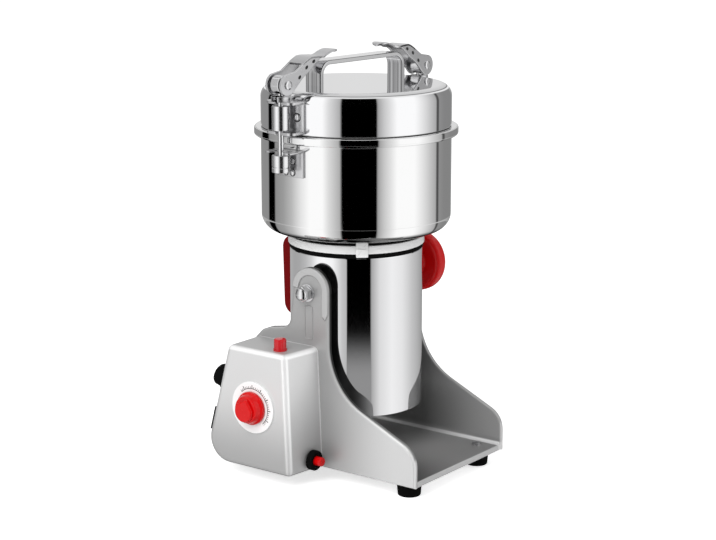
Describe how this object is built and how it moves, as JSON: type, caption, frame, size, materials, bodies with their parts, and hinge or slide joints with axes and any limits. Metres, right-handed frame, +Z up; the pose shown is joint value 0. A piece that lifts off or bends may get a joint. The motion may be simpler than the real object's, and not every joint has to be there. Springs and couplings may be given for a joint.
{
  "type": "electric coffee grinder",
  "caption": "Swing-type electric grinder: a polished bowl with a clamped lid stands on a motor barrel that tilts forward in a cast base with a control box.",
  "frame": {"origin": "on the table, under the middle of the machine's outer box", "axes": "+X to the machine's right, +Y to its back where the rear handle is, +Z up along the barrel's axis"},
  "size_m": [0.22, 0.1947, 0.3591],
  "materials": {
    "cast_paint": "satin silver paint on a casting",
    "polished_steel": "mirror-polished stainless steel",
    "fitting_steel": "polished steel sheet and turned steel",
    "steel": "machined steel",
    "blade_steel": "ground stainless steel",
    "band_white": "gloss white",
    "red_plastic": "gloss red moulding",
    "lamp_red": "clear red lens",
    "black_rubber": "matt black rubber",
    "black_plastic": "satin black moulding",
    "grey_silicone": "matt grey silicone",
    "white_dial": "white plate with a printed scale",
    "cream_plastic": "cream moulding",
    "cast_aluminium": "plain casting",
    "core_steel": "stacked sheet core",
    "copper": "enamelled copper wire and copper bars",
    "brass": "plain brass",
    "spring_steel": "spring wire",
    "carbon": "matt carbon"
  },
  "bodies": {
    "base": {"base_casting": "cast_paint", "rubber_feet": "black_rubber", "foot_screws": "steel", "control_box": "cast_paint", "control_box_screws": "steel", "timer_dial": "white_dial", "timer_unit": "cream_plastic", "lamp_lens": "lamp_red", "lamp_body": "black_plastic", "breaker_body": "black_plastic", "rocker_frame": "black_plastic", "cable_gland": "black_plastic", "gland_seal": "black_rubber", "pivot_bolt": "fitting_steel", "pivot_washers": "cream_plastic"},
    "timer_knob": {"timer_knob": "red_plastic"},
    "rocker_button": {"rocker_button": "black_plastic"},
    "breaker_button": {"breaker_button": "red_plastic"},
    "lock_knob": {"lock_knob": "red_plastic"},
    "tilting_head": {"motor_barrel": "polished_steel", "bottom_cover": "black_plastic", "bottom_cover_screws": "steel", "barrel_band": "band_white", "barrel_seals": "black_rubber", "rear_handle": "red_plastic", "rear_handle_screws": "steel", "upper_bracket": "cast_aluminium", "lower_bracket": "cast_aluminium", "stator_core": "core_steel", "field_coils": "copper", "brush_holders": "brass", "carbon_brushes": "carbon", "brush_springs": "spring_steel", "upper_bearing": "steel", "lower_bearing": "steel", "bowl": "polished_steel", "bowl_screws": "steel", "shaft_seal": "black_rubber", "latch_catches": "fitting_steel", "catch_rivets": "fitting_steel"},
    "rotor": {"motor_shaft": "steel", "armature_core": "core_steel", "armature_winding": "copper", "commutator": "copper", "cooling_fan": "black_plastic", "lower_blade": "blade_steel", "upper_blade": "blade_steel", "blade_spacers": "steel", "blade_nut": "steel"},
    "lid": {"lid": "polished_steel", "lid_gasket": "grey_silicone", "lid_handle": "polished_steel", "latch_brackets": "fitting_steel", "bracket_rivets": "fitting_steel"},
    "left_latch_rod": {"left_latch_rod": "fitting_steel"},
    "right_latch_rod": {"right_latch_rod": "fitting_steel"},
    "left_lever": {"left_latch_lever": "fitting_steel", "left_latch_pin": "fitting_steel"},
    "right_lever": {"right_latch_lever": "fitting_steel", "right_latch_pin": "fitting_steel"}
  },
  "joints": [
    {"name": "tilt", "type": "hinge", "parent": "base", "child": "tilting_head", "pos_m": [0.0099, 0.01165, 0.1605], "axis": [1, 0, 0], "range_deg": [0, 90]},
    {"name": "lock_turn", "type": "hinge", "parent": "base", "child": "lock_knob", "pos_m": [0.0899, 0.01165, 0.1605], "axis": [1, 0, 0], "range_deg": [0, 270]},
    {"name": "timer_turn", "type": "hinge", "parent": "base", "child": "timer_knob", "pos_m": [-0.1001, 0.03865, 0.0665], "axis": [1, 0, 0], "range_deg": [-30, 270]},
    {"name": "rocker_tip", "type": "hinge", "parent": "base", "child": "rocker_button", "pos_m": [-0.0836, 0.08668, 0.04722], "axis": [1, 0, 0], "range_deg": [0, 20]},
    {"name": "breaker_press", "type": "slide", "parent": "base", "child": "breaker_button", "axis": [0, 1, 0], "range_m": [0, 0.004], "stiffness_N_per_m": 300},
    {"name": "rotor_spin", "type": "hinge", "parent": "tilting_head", "child": "rotor", "pos_m": [0.0099, 0.01165, 0.2051], "axis": [0, 0, 1], "continuous": true},
    {"name": "lid_lift", "type": "slide", "parent": "tilting_head", "child": "lid", "axis": [0, 0, 1], "range_m": [0, 0.058]},
    {"name": "left_rod_swing", "type": "hinge", "parent": "lid", "child": "left_latch_rod", "pos_m": [-0.08112, 0.01881, 0.3348], "axis": [0.0785, 0.9969, 0], "range_deg": [0, 85]},
    {"name": "right_rod_swing", "type": "hinge", "parent": "lid", "child": "right_latch_rod", "pos_m": [0.1012, 0.01165, 0.3348], "axis": [0, -1, 0], "range_deg": [0, 85]},
    {"name": "left_lever_lift", "type": "hinge", "parent": "lid", "child": "left_lever", "pos_m": [-0.08112, 0.01881, 0.3348], "axis": [-0.0785, -0.9969, 0], "range_deg": [0, 92]},
    {"name": "right_lever_lift", "type": "hinge", "parent": "lid", "child": "right_lever", "pos_m": [0.1012, 0.01165, 0.3348], "axis": [0, 1, 0], "range_deg": [0, 92]}
  ],
  "couplings": [
    {"joint": "left_rod_swing", "follows": "lid_lift", "rad_per_m": 25.5},
    {"joint": "right_rod_swing", "follows": "lid_lift", "rad_per_m": 25.5}
  ]
}
